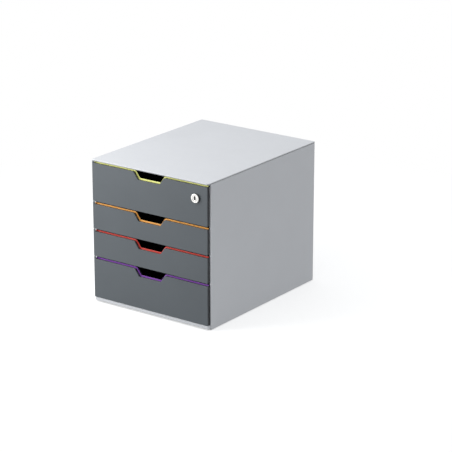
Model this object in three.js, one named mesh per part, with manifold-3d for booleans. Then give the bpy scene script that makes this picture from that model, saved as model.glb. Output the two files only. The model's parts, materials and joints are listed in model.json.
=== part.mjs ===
/**
 * Desktop file drawer: a cabinet of moulded panels with four pull-out trays for paper.
 * Each tray has a dark front with a finger notch, and a coloured strip behind the front
 * follows its top edge and the notch. The top drawer has a cam lock.
 *
 * Millimetres. X runs across the fronts, Y from the fronts to the back, Z is up.
 * The origin is the middle of the footprint, on the desk.
 */
import * as THREE from 'three';
import { mergeVertices } from 'three/addons/utils/BufferGeometryUtils.js';
import Module from 'manifold-3d';

const wasm = await Module();
wasm.setup();

// Clearances
const fit = 0.3;          // between two pieces that seat on each other
const slideGap = 0.3;     // under the rails of a tray
const overrun = 1;        // how far a cutting shape runs past the face it cuts

// Cabinet
const caseWidth = 280;
const caseDepth = 356;    // from the faces of the drawer fronts to the outside of the back
const wall = 3;
const topThickness = 3;
const topGap = 4.1;       // over the edge of the top drawer's front
const topFrontRadius = 5; // corners of the top panel, seen from above
const rearRadius = 2;     // upright rear edges
const edgeBevel = 0.8;    // broken edges round the top panel
const backThickness = 2.5;
const locatingRibWidth = 2;
const locatingRibDepth = 1.2;

// Base, its sill under the lowest drawer, and the feet
const sillBottom = 2.5;
const sillHeight = 7.5;
const sillSetback = 2;    // behind the faces of the fronts
const sillUnderRadius = 2.7;
const sillCornerRadius = 4;
const baseRise = 5;       // underside of the base plate over the desk
const baseThickness = 2.5;
const panelRise = 1;      // lower edges of the side and back panels over the desk
const footRadius = 7;
const footBevel = 0.8;
const footFromSide = 26;
const footFromEnd = 25;
const footBossWall = 2.2;

// Drawer fronts
const topFront = 77;
const lowFront = 50.2;
const bottomFront = 79;
const frontGap = 6;
const sillGap = 0.5;
const frontInset = 1.9;   // each end of a front, inside the side of the cabinet
const overlay = 8.5;      // depth of a front, which covers the front edges of the panels
const faceThickness = 4.2;
const faceBevel = 0.6;
const faceCornerRadius = 1.2;
const cheekThickness = 2.5;
const returnThickness = 2.5;

// Horns on the upper corners of each front, before the ends of the strip
const hornWidth = 3.2;
const hornThickness = 1.6;
const hornGap = 0.7;      // under the front or the top panel above
const hornRadius = 0.8;

// Finger notch in the top edge of each front
const notchWidth = 73;
const notchFloorWidth = 52;
const notchDepth = 14.5;
const shoulderRadius = 4;
const notchFloorRadius = 3;

// Coloured strip behind the face
const stripThickness = 2.2;
const stripRise = 3.4;    // over the edge of the front
const stripSkirt = 6;     // below the edge, hidden behind the face
const stripInset = 1.3;   // each end, which lies over a cheek, inside the end of the front

// Clip pegs that hold a front to its tray
const pegRadius = 3;
const pegTipRadius = 2.2;
const pegTipLength = 1;
const pegReach = 2;       // past the inside of the tray wall
const pegFromNotch = 12;  // inner pegs, beyond each end of the notch
const pegFromEnd = 52;    // outer pegs, from each end of the front
const pegFromBottom = 20;

// Trays
const trayWall = 2.2;
const trayFloor = 2;
const trayCornerRadius = 7;
const trayLift = 1.5;     // over the lower edge of the front
const rimDrop = 3.5;      // under the upper edge of the front
const trayRearGap = 8.5;  // to the inside of the back panel
const railThickness = 2.5;
const railGap = 0.8;      // between a rail and the side panel
const railCornerRadius = 2;
const lugLength = 8;      // stop lug on the rear end of each rail
const lugRise = 3.5;

// Runners moulded on the side panels
const ledgeWidth = 7.5;
const ledgeThickness = 2.5;
const ledgeSideGap = 1;   // between the ledge and the wall of the tray
const ledgeStart = 12;    // behind the faces of the fronts
const ledgeLead = 3;      // slanted front end
const keeperWidth = 5;
const keeperThickness = 2;
const keeperGap = 0.5;    // over the stop lug
const stopFromFront = 80;
const stopLength = 6;
const stopDrop = 3;
const backRibDepth = 2;   // ribs that the back panel seats against
const backRibWidth = 3;

// Cam lock of the top drawer
const lockFromSide = 26;
const lockFromTop = 24.5;
const lockProud = 4.5;
const flangeRadius = 8.9;
const flangeRound = 0.9;
const barrelRadius = 8;
const barrelFlat = 7;     // half the width over the two flats
const barrelLength = 17.3;
const plugRadius = 5.3;
const plugRecess = 0.3;
const postHalf = 3;
const keyholeDepth = 10;
const keyholeTop = 3.6;
const keyholeWaist = -1.2;
const keyholeBottom = -3.8;
const keyholeTopHalf = 0.8;
const keyholeWaistHalf = 1.5;
const keyholeBottomHalf = 0.7;
const lockBossRadius = 11;
const nutAcross = 20;
const nutThickness = 3.5;
const camLength = 25.5;
const camHalfWidth = 6;
const camHub = 7;
const camThickness = 2.2;
const camTipRadius = 3;
const camHubRadius = 5;
const camScrewHeadRadius = 4.5;
const camScrewHeadHeight = 2;
const camScrewRadius = 1.5;
const camScrewLength = 7;
const camScrewBevel = 0.5;
const strikeStart = 13.5; // rib of the top panel that the cam turns up behind
const strikeThickness = 3;
const strikeWidth = 26;
const strikeDepth = 6.5;

// Fineness of the round shapes
const arcSteps = 2;
const roundSides = 32;
const smallSides = 16;

// The drawers from the top one down
const drawers = [
  { number: 1, height: topFront, gap: topGap, colour: 0xe6ea4a, lock: true },
  { number: 2, height: lowFront, gap: frontGap, colour: 0xe89a3c, lock: false },
  { number: 3, height: lowFront, gap: frontGap, colour: 0xd8483c, lock: false },
  { number: 4, height: bottomFront, gap: frontGap, colour: 0x7d4fc0, lock: false },
];

// Levels and places that follow from the sizes above
const sillTop = sillBottom + sillHeight;
let level = sillTop + sillGap;
for (const drawer of [...drawers].reverse()) {
  drawer.bottom = level;
  drawer.top = level + drawer.height;
  drawer.trayBottom = drawer.bottom + trayLift;
  drawer.rim = drawer.top - rimDrop;
  level = drawer.top + drawer.gap;
}
const underTop = level;
const caseHeight = underTop + topThickness;

const frontPlane = (lockProud - caseDepth) / 2;
const behind = distance => frontPlane + distance;
const caseHalf = caseWidth / 2;
const insideHalf = caseHalf - wall;
const frontHalf = caseHalf - frontInset;
const panelFront = overlay + fit;
const backInside = caseDepth - backThickness;
const backRibRear = backInside - fit;
const backRibFront = backRibRear - backRibDepth;
const trayHalf = insideHalf - ledgeWidth - ledgeSideGap;
const railHalf = insideHalf - railGap;
const trayFront = overlay + fit;
const trayRear = backInside - trayRearGap;
const stripFront = faceThickness + fit;
const keeperLevel = lugRise + keeperGap;
const lockX = frontHalf - lockFromSide;
const lockZ = drawers[0].top - lockFromTop;

// Finishes
const material = (color, roughness, metalness = 0) =>
  new THREE.MeshStandardMaterial({ color, roughness, metalness, flatShading: true });
const lightGrey = material(0xd2d4d8, 0.45);
const anthracite = material(0x6b6f75, 0.5);
const nickel = material(0xd6d5d0, 0.28, 1);
const zinc = material(0xa9acb0, 0.4, 1);
const rubber = material(0x2c2c2e, 0.85);

// Shapes and solids

/** A closed outline through corners [x, y, radius]; each corner is an arc of its radius. */
function filletedShape(corners) {
  const shape = new THREE.Shape();
  const corner = i => new THREE.Vector2(...corners.at(i % corners.length));
  corners.forEach(([x, y, radius = 0], i) => {
    if (radius <= 0) {
      if (i === 0) shape.moveTo(x, y);
      else shape.lineTo(x, y);
      return;
    }
    const back = corner(i - 1).sub(corner(i)).normalize();
    const ahead = corner(i + 1).sub(corner(i)).normalize();
    const half = Math.acos(back.dot(ahead)) / 2;
    const inward = back.clone().add(ahead).normalize();
    const centre = corner(i).addScaledVector(inward, radius / Math.sin(half));
    const start = corner(i).addScaledVector(back, radius / Math.tan(half)).sub(centre);
    const end = corner(i).addScaledVector(ahead, radius / Math.tan(half)).sub(centre);
    const clockwise = back.cross(ahead) > 0;
    shape.absarc(centre.x, centre.y, radius, start.angle(), end.angle(), clockwise);
  });
  shape.closePath();
  return shape;
}

/** A rectangle with one radius for each of its four corners, from the lower left round. */
function roundedRectangle(x0, x1, y0, y1, radii) {
  return filletedShape([
    [x0, y0, radii[0]],
    [x1, y0, radii[1]],
    [x1, y1, radii[2]],
    [x0, y1, radii[3]],
  ]);
}

function circle(x, y, radius) {
  const shape = new THREE.Shape();
  shape.absarc(x, y, radius, 0, 2 * Math.PI);
  return shape;
}

function toSolid(geometry) {
  geometry.deleteAttribute('normal');
  geometry.deleteAttribute('uv');
  const merged = mergeVertices(geometry);
  return new wasm.Manifold(new wasm.Mesh({
    numProp: 3,
    vertProperties: new Float32Array(merged.attributes.position.array),
    triVerts: new Uint32Array(merged.index.array),
  }));
}

/** An outline pushed along one axis. It is drawn in YZ for x, in XZ for y and in XY for z. */
function prism(shape, axis, from, to, options = {}) {
  const { steps = arcSteps, bevel = 0 } = options;
  const geometry = new THREE.ExtrudeGeometry(shape, {
    depth: to - from - 2 * bevel,
    curveSegments: steps,
    bevelEnabled: bevel > 0,
    bevelThickness: bevel,
    bevelSize: bevel,
    bevelOffset: -bevel,
    bevelSegments: 1,
  });
  geometry.translate(0, 0, bevel);
  const [x, y, z] = [0, 1, 2].map(i => new THREE.Vector3().setComponent(i, 1));
  const turn = new THREE.Matrix4();
  const place = new THREE.Vector3();
  if (axis === 'x') {
    turn.makeBasis(y, z, x);
    place.x = from;
  } else if (axis === 'y') {
    turn.makeBasis(x, z, y.negate());
    place.y = to;
  } else {
    place.z = from;
  }
  geometry.applyMatrix4(turn.setPosition(place));
  return toSolid(geometry);
}

function block(x0, x1, y0, y1, z0, z1) {
  const geometry = new THREE.BoxGeometry(Math.abs(x1 - x0), Math.abs(y1 - y0), Math.abs(z1 - z0));
  geometry.translate((x0 + x1) / 2, (y0 + y1) / 2, (z0 + z1) / 2);
  return toSolid(geometry);
}

/** A turned shape about an axis along Y: its profile is [radius, distance behind the fronts]. */
function turnedAlongY(profile, x, z, sides = roundSides) {
  const points = profile.map(([radius, distance]) => new THREE.Vector2(radius, behind(distance)));
  const geometry = new THREE.LatheGeometry(points, sides);
  geometry.translate(x, 0, z);
  return toSolid(geometry);
}

const join = solids => solids.reduce((whole, solid) => whole.add(solid));

function piece(name, solid, finish) {
  const { vertProperties, triVerts } = solid.getMesh();
  const geometry = new THREE.BufferGeometry();
  geometry.setAttribute('position', new THREE.BufferAttribute(vertProperties, 3));
  geometry.setIndex(new THREE.BufferAttribute(triVerts, 1));
  geometry.computeVertexNormals();
  const mesh = new THREE.Mesh(geometry, finish);
  mesh.name = name;
  return mesh;
}

// Cabinet

/** Side panel with its runners. The side is 1 on the right and -1 on the left. */
function sidePanel(name, side) {
  const top = underTop - fit;
  const outline = filletedShape([
    [side * insideHalf, behind(panelFront)],
    [side * caseHalf, behind(panelFront), faceBevel],
    [side * caseHalf, behind(caseDepth), rearRadius],
    [side * insideHalf, behind(caseDepth)],
    [side * insideHalf, behind(backRibRear)],
    [side * (insideHalf - backRibWidth), behind(backRibRear)],
    [side * (insideHalf - backRibWidth), behind(backRibFront)],
    [side * insideHalf, behind(backRibFront)],
  ]);
  const runners = drawers.flatMap(drawer => runner(side, drawer));
  return piece(name, join([prism(outline, 'z', panelRise, top), ...runners]), lightGrey);
}

/** The ledge that carries a rail, the keeper over it, and the stop that ends the travel. */
function runner(side, drawer) {
  const root = side * (insideHalf + wall / 2);
  const ledgeEdge = side * (insideHalf - ledgeWidth);
  const keeperEdge = side * (insideHalf - keeperWidth);
  const end = behind(trayRear);
  const ledgeTop = drawer.rim - railThickness - slideGap;
  const ledge = filletedShape([
    [root, behind(ledgeStart)],
    [side * insideHalf, behind(ledgeStart)],
    [ledgeEdge, behind(ledgeStart + ledgeLead)],
    [ledgeEdge, end],
    [root, end],
  ]);
  const keeper = filletedShape([
    [root, behind(ledgeStart)],
    [side * insideHalf, behind(ledgeStart)],
    [keeperEdge, behind(ledgeStart + ledgeLead)],
    [keeperEdge, end],
    [root, end],
  ]);
  const keeperBottom = drawer.rim + keeperLevel;
  const stopFront = behind(stopFromFront);
  const stopRear = behind(stopFromFront + stopLength);
  return [
    prism(ledge, 'z', ledgeTop - ledgeThickness, ledgeTop),
    prism(keeper, 'z', keeperBottom, keeperBottom + keeperThickness),
    block(root, keeperEdge, stopFront, stopRear, keeperBottom - stopDrop, keeperBottom + keeperThickness),
  ];
}

/** The top plate with broken edges, two locating ribs and the strike for the cam. */
function topPanel() {
  const radii = [topFrontRadius, topFrontRadius, rearRadius, rearRadius];
  const outline = roundedRectangle(-caseHalf, caseHalf, behind(0), behind(caseDepth), radii);
  const middle = underTop + topThickness / 2;
  const ribOuter = insideHalf - fit;
  const ribInner = ribOuter - locatingRibWidth;
  const ribs = [-1, 1].map(side => block(
    side * ribInner, side * ribOuter,
    behind(ledgeStart), behind(backRibFront - fit),
    underTop - locatingRibDepth, middle,
  ));
  const strike = block(
    lockX - strikeWidth / 2, lockX + strikeWidth / 2,
    behind(strikeStart), behind(strikeStart + strikeThickness),
    underTop - strikeDepth, middle,
  );
  const solid = join([
    prism(outline, 'z', underTop, caseHeight, { bevel: edgeBevel }),
    prism(outline, 'z', underTop, middle),
    ...ribs,
    strike,
  ]);
  return piece('top_panel', solid, lightGrey);
}

function backPanel() {
  const half = insideHalf - fit;
  const solid = block(-half, half, behind(backInside), behind(caseDepth), panelRise, underTop - fit);
  return piece('back_panel', solid, lightGrey);
}

const footPlaces = [
  ['foot_front_left', -1, footFromEnd],
  ['foot_front_right', 1, footFromEnd],
  ['foot_rear_left', -1, caseDepth - footFromEnd],
  ['foot_rear_right', 1, caseDepth - footFromEnd],
].map(([name, side, distance]) => ({ name, x: side * (caseHalf - footFromSide), y: behind(distance) }));

/** The base plate, the rounded sill under the lowest front, and a ring for each foot. */
function basePanel() {
  const half = insideHalf - fit;
  const innerHalf = insideHalf - backRibWidth - fit;
  const plate = filletedShape([
    [-half, behind(panelFront)],
    [half, behind(panelFront)],
    [half, behind(backRibFront - fit)],
    [innerHalf, behind(backRibFront - fit)],
    [innerHalf, behind(backInside - fit)],
    [-innerHalf, behind(backInside - fit)],
    [-innerHalf, behind(backRibFront - fit)],
    [-half, behind(backRibFront - fit)],
  ]);
  const sillSection = filletedShape([
    [behind(sillSetback), sillBottom, sillUnderRadius],
    [behind(overlay), sillBottom],
    [behind(overlay), sillTop],
    [behind(sillSetback), sillTop, faceBevel],
  ]);
  const sillRadii = [sillCornerRadius, sillCornerRadius, 0, 0];
  const sillPlan = roundedRectangle(-caseHalf, caseHalf, behind(sillSetback), behind(overlay), sillRadii);
  const sill = prism(sillSection, 'x', -caseHalf, caseHalf)
    .intersect(prism(sillPlan, 'z', sillBottom, sillTop));
  const web = block(-half, half, behind(sillSetback + sillCornerRadius), behind(panelFront + wall),
    sillBottom, sillTop - sillGap);
  const rings = footPlaces.map(({ x, y }) => prism(
    circle(x, y, footRadius + fit + footBossWall), 'z', sillBottom, baseRise + baseThickness,
    { steps: smallSides / 2 },
  ));
  const pockets = footPlaces.map(({ x, y }) => prism(
    circle(x, y, footRadius + fit), 'z', sillBottom - overrun, baseRise, { steps: smallSides / 2 },
  ));
  const body = join([prism(plate, 'z', baseRise, baseRise + baseThickness), sill, web, ...rings]);
  return piece('base_panel', body.subtract(join(pockets)), lightGrey);
}

function foot({ name, x, y }) {
  const top = baseRise - fit;
  const profile = [
    [0, 0],
    [footRadius - footBevel, 0],
    [footRadius, footBevel],
    [footRadius, top],
    [0, top],
  ].map(([radius, height]) => new THREE.Vector2(radius, height));
  const geometry = new THREE.LatheGeometry(profile, smallSides);
  geometry.rotateX(Math.PI / 2);
  geometry.translate(x, y, 0);
  return piece(name, toSolid(geometry), rubber);
}

// Drawers

/**
 * The four corners of the finger notch from right to left, for a line that runs
 * parallel to the edge of the front and higher by the given rise.
 */
function notchCorners(edge, rise) {
  const run = (notchWidth - notchFloorWidth) / 2;
  const slope = Math.hypot(run, notchDepth);
  const shift = rise * (slope - run) / notchDepth;
  const upper = notchWidth / 2 - shift;
  const lower = notchFloorWidth / 2 - shift;
  const upperRadius = Math.max(shoulderRadius + rise, 0);
  const lowerRadius = Math.max(notchFloorRadius - rise, 0);
  return [
    [upper, edge + rise, upperRadius],
    [lower, edge + rise - notchDepth, lowerRadius],
    [-lower, edge + rise - notchDepth, lowerRadius],
    [-upper, edge + rise, upperRadius],
  ];
}

/** The cut through a wall behind the front, from its notch upwards. */
function notchCut(drawer, from, to) {
  const above = drawer.top + overrun;
  const [upperRight, lowerRight, lowerLeft, upperLeft] = notchCorners(drawer.top, 0);
  const shape = filletedShape([
    [upperRight[0], above],
    [upperRight[0], drawer.top],
    lowerRight,
    lowerLeft,
    [upperLeft[0], drawer.top],
    [upperLeft[0], above],
  ]);
  return prism(shape, 'y', from, to);
}

function pegPlaces(drawer) {
  const inner = notchWidth / 2 + pegFromNotch;
  const outer = frontHalf - pegFromEnd;
  return [-outer, -inner, inner, outer].map(x => ({ x, z: drawer.bottom + pegFromBottom }));
}

/** The outline of the lock's barrel: a circle with two flats, grown by a clearance. */
function barrelOutline(clearance) {
  const radius = barrelRadius + clearance;
  const flat = barrelFlat + clearance;
  const reach = Math.acos(flat / radius);
  const shape = new THREE.Shape();
  shape.absarc(lockX, lockZ, radius, reach, Math.PI - reach);
  shape.absarc(lockX, lockZ, radius, Math.PI + reach, 2 * Math.PI - reach);
  shape.closePath();
  return shape;
}

const barrelSteps = { steps: smallSides / 4 };

/** A front: the face, its horns, cheeks and lower return, and the pegs that clip into the tray. */
function front(drawer) {
  const { bottom, top } = drawer;
  const hornTop = top + drawer.gap - hornGap;
  const hornInside = frontHalf - hornWidth;
  const faceOutline = filletedShape([
    [-frontHalf, bottom, faceCornerRadius],
    [frontHalf, bottom, faceCornerRadius],
    [frontHalf, top],
    ...notchCorners(top, 0),
    [-frontHalf, top],
  ]);
  const hornedOutline = filletedShape([
    [-frontHalf, bottom, faceCornerRadius],
    [frontHalf, bottom, faceCornerRadius],
    [frontHalf, hornTop, hornRadius],
    [hornInside, hornTop, hornRadius],
    [hornInside, top],
    ...notchCorners(top, 0),
    [-hornInside, top],
    [-hornInside, hornTop, hornRadius],
    [-frontHalf, hornTop, hornRadius],
  ]);
  const middle = faceThickness / 2;
  const cheeks = [-frontHalf, frontHalf - cheekThickness].map(x => block(
    x, x + cheekThickness, behind(middle), behind(overlay), bottom, top,
  ));
  const pegRoot = faceThickness - middle;
  const pegEnd = trayFront + trayWall + pegReach;
  const pegProfile = [
    [0, pegRoot],
    [pegRadius, pegRoot],
    [pegRadius, pegEnd - pegTipLength],
    [pegTipRadius, pegEnd],
    [0, pegEnd],
  ];
  const pegs = pegPlaces(drawer).map(({ x, z }) => turnedAlongY(pegProfile, x, z, smallSides));
  let solid = join([
    prism(hornedOutline, 'y', behind(0), behind(hornThickness), { bevel: faceBevel }),
    prism(faceOutline, 'y', behind(faceBevel), behind(faceThickness)),
    ...cheeks,
    block(-frontHalf + cheekThickness / 2, frontHalf - cheekThickness / 2,
      behind(middle), behind(overlay), bottom, bottom + returnThickness),
    ...pegs,
  ]);
  if (drawer.lock) {
    const boss = circle(lockX, lockZ, lockBossRadius);
    solid = solid
      .add(prism(boss, 'y', behind(middle), behind(overlay), { steps: smallSides }))
      .subtract(prism(barrelOutline(fit), 'y', behind(-overrun), behind(overlay + overrun), barrelSteps));
  }
  return piece(`front_${drawer.number}`, solid, anthracite);
}

/** The strip: a ribbon that follows the top edge of the front and dips into its notch. */
function accentStrip(drawer) {
  const end = frontHalf - stripInset;
  const skirtEnd = frontHalf - cheekThickness - fit;
  const { top } = drawer;
  const ribbon = filletedShape([
    [skirtEnd, top - stripSkirt],
    [skirtEnd, top + fit],
    [end, top + fit],
    [end, top + stripRise],
    ...notchCorners(top, stripRise),
    [-end, top + stripRise],
    [-end, top + fit],
    [-skirtEnd, top + fit],
    [-skirtEnd, top - stripSkirt],
    ...notchCorners(top, -stripSkirt).reverse(),
  ]);
  const solid = prism(ribbon, 'y', behind(stripFront), behind(stripFront + stripThickness));
  return piece(`accent_strip_${drawer.number}`, solid, material(drawer.colour, 0.4));
}

/** The tray: an open bin with a rail along each side and a stop lug on the end of each rail. */
function tray(drawer) {
  const { rim, trayBottom } = drawer;
  const [y0, y1] = [behind(trayFront), behind(trayRear)];
  const outer = roundedRectangle(-trayHalf, trayHalf, y0, y1, Array(4).fill(trayCornerRadius));
  const inner = roundedRectangle(
    -trayHalf + trayWall, trayHalf - trayWall, y0 + trayWall, y1 - trayWall,
    Array(4).fill(trayCornerRadius - trayWall),
  );
  const rails = roundedRectangle(-railHalf, railHalf, y0, y1, Array(4).fill(railCornerRadius));
  const lugs = [-1, 1].map(side => block(
    side * (trayHalf - trayWall), side * railHalf,
    y1 - lugLength, y1 - railCornerRadius, rim - railThickness, rim + lugRise,
  ));
  const holes = pegPlaces(drawer).map(({ x, z }) => turnedAlongY([
    [0, trayFront - overrun],
    [pegRadius + fit, trayFront - overrun],
    [pegRadius + fit, trayFront + trayWall + overrun],
    [0, trayFront + trayWall + overrun],
  ], x, z, smallSides));
  const cuts = [
    prism(inner, 'z', trayBottom + trayFloor, rim + overrun),
    notchCut(drawer, y0 - overrun, y0 + trayWall + overrun),
    ...holes,
  ];
  if (drawer.lock) {
    cuts.push(prism(barrelOutline(fit), 'y', y0 - overrun, y0 + trayWall + overrun, barrelSteps));
  }
  const solid = join([
    prism(outer, 'z', trayBottom, rim),
    prism(rails, 'z', rim - railThickness, rim),
  ]).subtract(join(cuts)).add(join(lugs));
  return piece(`tray_${drawer.number}`, solid, anthracite);
}

// Lock

function lockBarrel() {
  const flange = turnedAlongY([
    [0, -lockProud],
    [flangeRadius - flangeRound, -lockProud],
    [flangeRadius, -lockProud + flangeRound],
    [flangeRadius, -fit],
    [0, -fit],
  ], lockX, lockZ);
  const bore = turnedAlongY([
    [0, -lockProud - overrun],
    [plugRadius + fit, -lockProud - overrun],
    [plugRadius + fit, barrelLength + overrun],
    [0, barrelLength + overrun],
  ], lockX, lockZ);
  const body = prism(barrelOutline(0), 'y', behind(-fit - flangeRound), behind(barrelLength), barrelSteps);
  return piece('lock_barrel', flange.add(body).subtract(bore), nickel);
}

function lockNut() {
  const circumradius = nutAcross / Math.sqrt(3);
  const corners = Array.from({ length: 6 }, (_, i) => {
    const angle = (i + 0.5) * Math.PI / 3;
    return [lockX + circumradius * Math.cos(angle), lockZ + circumradius * Math.sin(angle)];
  });
  const shape = filletedShape(corners);
  const hole = new THREE.Path();
  hole.absarc(lockX, lockZ, barrelRadius + fit, 0, 2 * Math.PI);
  shape.holes.push(hole);
  const start = trayFront + trayWall + fit;
  return piece('lock_nut', prism(shape, 'y', behind(start), behind(start + nutThickness),
    { steps: smallSides }), zinc);
}

const camStart = barrelLength + fit;
const camEnd = camStart + camThickness;

/** The plug: the keyhole in its face, a square post for the cam, and a bore for the screw. */
function lockPlug() {
  const face = plugRecess - lockProud;
  const core = turnedAlongY([
    [0, face],
    [plugRadius, face],
    [plugRadius, barrelLength],
    [0, barrelLength],
  ], lockX, lockZ);
  const post = block(lockX - postHalf, lockX + postHalf, behind(camStart - plugRadius), behind(camEnd),
    lockZ - postHalf, lockZ + postHalf);
  const keyhole = filletedShape([
    [lockX - keyholeBottomHalf, lockZ + keyholeBottom],
    [lockX + keyholeBottomHalf, lockZ + keyholeBottom],
    [lockX + keyholeWaistHalf, lockZ + keyholeWaist],
    [lockX + keyholeTopHalf, lockZ + keyholeTop],
    [lockX - keyholeTopHalf, lockZ + keyholeTop],
    [lockX - keyholeWaistHalf, lockZ + keyholeWaist],
  ]);
  const screwEnd = camEnd + fit - camScrewLength;
  const screwBore = turnedAlongY([
    [0, screwEnd - fit],
    [camScrewRadius + fit, screwEnd - fit],
    [camScrewRadius + fit, camEnd + overrun],
    [0, camEnd + overrun],
  ], lockX, lockZ, smallSides);
  const solid = core.add(post)
    .subtract(prism(keyhole, 'y', behind(face - overrun), behind(face + keyholeDepth)))
    .subtract(screwBore);
  return piece('lock_plug', solid, nickel);
}

/** The cam points to the left at rest, unlocked, and turns up behind the strike. */
function lockCam() {
  const radii = [camTipRadius, camHubRadius, camHubRadius, camTipRadius];
  const lever = roundedRectangle(lockX - camLength, lockX + camHub,
    lockZ - camHalfWidth, lockZ + camHalfWidth, radii);
  const hole = postHalf + fit;
  const solid = prism(lever, 'y', behind(camStart), behind(camEnd)).subtract(block(
    lockX - hole, lockX + hole, behind(camStart - overrun), behind(camEnd + overrun),
    lockZ - hole, lockZ + hole,
  ));
  return piece('lock_cam', solid, zinc);
}

function camScrew() {
  const head = camEnd + fit;
  const profile = [
    [0, head - camScrewLength],
    [camScrewRadius, head - camScrewLength],
    [camScrewRadius, head],
    [camScrewHeadRadius, head],
    [camScrewHeadRadius, head + camScrewHeadHeight - camScrewBevel],
    [camScrewHeadRadius - camScrewBevel, head + camScrewHeadHeight],
    [0, head + camScrewHeadHeight],
  ];
  return piece('cam_screw', turnedAlongY(profile, lockX, lockZ, smallSides), zinc);
}

// Assembly
const cabinet = new THREE.Group();
cabinet.add(
  sidePanel('left_side_panel', -1),
  sidePanel('right_side_panel', 1),
  topPanel(),
  backPanel(),
  basePanel(),
  ...footPlaces.map(foot),
);

const lock = new THREE.Group();
lock.add(lockPlug(), lockCam(), camScrew());

const fileDrawer = new THREE.Group();
fileDrawer.add(cabinet);
for (const drawer of drawers) {
  const group = new THREE.Group();
  group.add(tray(drawer), front(drawer), accentStrip(drawer));
  if (drawer.lock) group.add(lockBarrel(), lockNut(), lock);
  fileDrawer.add(group);
}

export default fileDrawer;
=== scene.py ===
# %% [markdown]
# # A desktop file drawer, dressed piece by piece
#
# The real thing is a small cabinet for a desk. Light grey mouldings make its case, four dark
# trays run on ledges inside, and each tray has a front with a finger notch and a coloured strip.
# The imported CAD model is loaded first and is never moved. Each piece below is modelled again in
# its place, with the rounded edges and the finish that make a moulding look like one.

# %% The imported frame
import json
import math

import bmesh
import bpy
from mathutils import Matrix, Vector


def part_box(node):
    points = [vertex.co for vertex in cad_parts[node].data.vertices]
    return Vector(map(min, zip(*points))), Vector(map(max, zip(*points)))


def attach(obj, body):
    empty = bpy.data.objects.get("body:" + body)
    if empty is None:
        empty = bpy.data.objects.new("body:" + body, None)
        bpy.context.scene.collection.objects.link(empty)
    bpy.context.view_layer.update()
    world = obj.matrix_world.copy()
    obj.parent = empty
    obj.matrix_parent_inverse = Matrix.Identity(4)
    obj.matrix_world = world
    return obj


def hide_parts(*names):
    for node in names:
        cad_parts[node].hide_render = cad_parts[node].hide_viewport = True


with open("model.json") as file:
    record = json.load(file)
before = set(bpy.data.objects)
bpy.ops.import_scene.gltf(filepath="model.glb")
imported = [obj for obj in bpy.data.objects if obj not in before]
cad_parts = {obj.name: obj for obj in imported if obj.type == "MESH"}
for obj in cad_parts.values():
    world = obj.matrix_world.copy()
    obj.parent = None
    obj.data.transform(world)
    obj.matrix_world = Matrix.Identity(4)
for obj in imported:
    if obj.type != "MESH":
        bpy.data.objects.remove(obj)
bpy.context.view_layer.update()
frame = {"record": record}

# %% [markdown]
# ## Sizes
#
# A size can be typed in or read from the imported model. The large ones are read from the boxes of
# its nodes, so the looks follow the construction. Walls, gaps and radii can't be read from a box
# and are written in millimetres: here those that several pieces share, and the others where they
# are first needed.

# %% Shared sizes
mm = 0.001

WALL = 3 * mm
TOP_THICKNESS = 3 * mm
BACK_THICKNESS = 2.5 * mm
SILL_HEIGHT = 7.5 * mm
OVERLAY = 8.5 * mm
SEAM = 0.06 * mm
FIT = 0.3 * mm
OVERRUN = 1 * mm

case_low, case_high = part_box("top_panel")
front_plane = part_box("front_1")[0].y
panel_front = front_plane + OVERLAY + FIT
inside_half = case_high.x - WALL
under_top = case_high.z - TOP_THICKNESS
lock_low, lock_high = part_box("lock_barrel")
lock_centre = Vector(((lock_low.x + lock_high.x) / 2, 0, (lock_low.z + lock_high.z) / 2))
print("top panel:", [round(side / mm, 1) for side in case_high - case_low], "mm")
print("front plane:", round(front_plane / mm, 2), "mm")

# %% [markdown]
# ## Camera
#
# The photograph was taken from the front right and a little above, with a long lens. A camera
# could be aimed at the middle of the case and shifted until the picture fits. This one stands at
# the place that a fit to the corners of the case gave and looks along its own direction, so no
# lens shift is needed.

# %% Camera
PICTURE = 452
FOCAL_PIXELS = 2006.6
SENSOR_WIDTH = 36
FAR_CLIP = 100
CAMERA_PLACE = Vector((2251.2, -3015.0, 1389.3)) * mm
CAMERA_AZIMUTH = math.radians(36.095)
CAMERA_ELEVATION = math.radians(18.421)

camera_data = bpy.data.cameras.new("camera")
camera_data.sensor_width = SENSOR_WIDTH
camera_data.lens = FOCAL_PIXELS / PICTURE * SENSOR_WIDTH
camera_data.clip_end = FAR_CLIP
camera = bpy.data.objects.new("camera", camera_data)
camera.location = CAMERA_PLACE
camera.rotation_euler = (math.pi / 2 - CAMERA_ELEVATION, 0, CAMERA_AZIMUTH)
bpy.context.scene.collection.objects.link(camera)
bpy.context.scene.camera = camera
print("lens:", round(camera_data.lens, 1), "mm")

# %% [markdown]
# ## Light
#
# A product photograph like this is lit mostly by a bright room. A picture of a room could light
# it, but a plain world and two soft boxes give the same softness and are easy to follow. Both
# boxes are square area lamps near the case, one above its front and one low at the front left.
# They make the left and upper parts of the fronts a little lighter than the rest.

# %% Soft boxes
LIT_PLACE = Vector((0, -0.1, 0.12))
SOFT_BOXES = {
    "upper_box": {"place": Vector((-0.35, -0.5, 0.75)), "side": 0.4, "watts": 1.75},
    "lower_box": {"place": Vector((-0.6, -0.9, 0.35)), "side": 0.5, "watts": 5},
}

scene = bpy.context.scene
scene.view_settings.view_transform = "Standard"


def soft_box(name, place, side, watts):
    """A square lamp that looks at the case and isn't seen by the camera."""
    lamp_data = bpy.data.lights.new(name, "AREA")
    lamp_data.shape = "SQUARE"
    lamp_data.size = side
    lamp_data.energy = watts
    lamp = bpy.data.objects.new(name, lamp_data)
    lamp.location = place
    lamp.rotation_euler = (place - LIT_PLACE).to_track_quat("Z", "Y").to_euler()
    lamp.visible_camera = False
    scene.collection.objects.link(lamp)


for name, values in SOFT_BOXES.items():
    soft_box(name, **values)
print("soft boxes:", ", ".join(SOFT_BOXES))

# %% World
ROOM = (0.81, 0.823, 0.835, 1)
WHITE = (1, 1, 1, 1)


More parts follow.
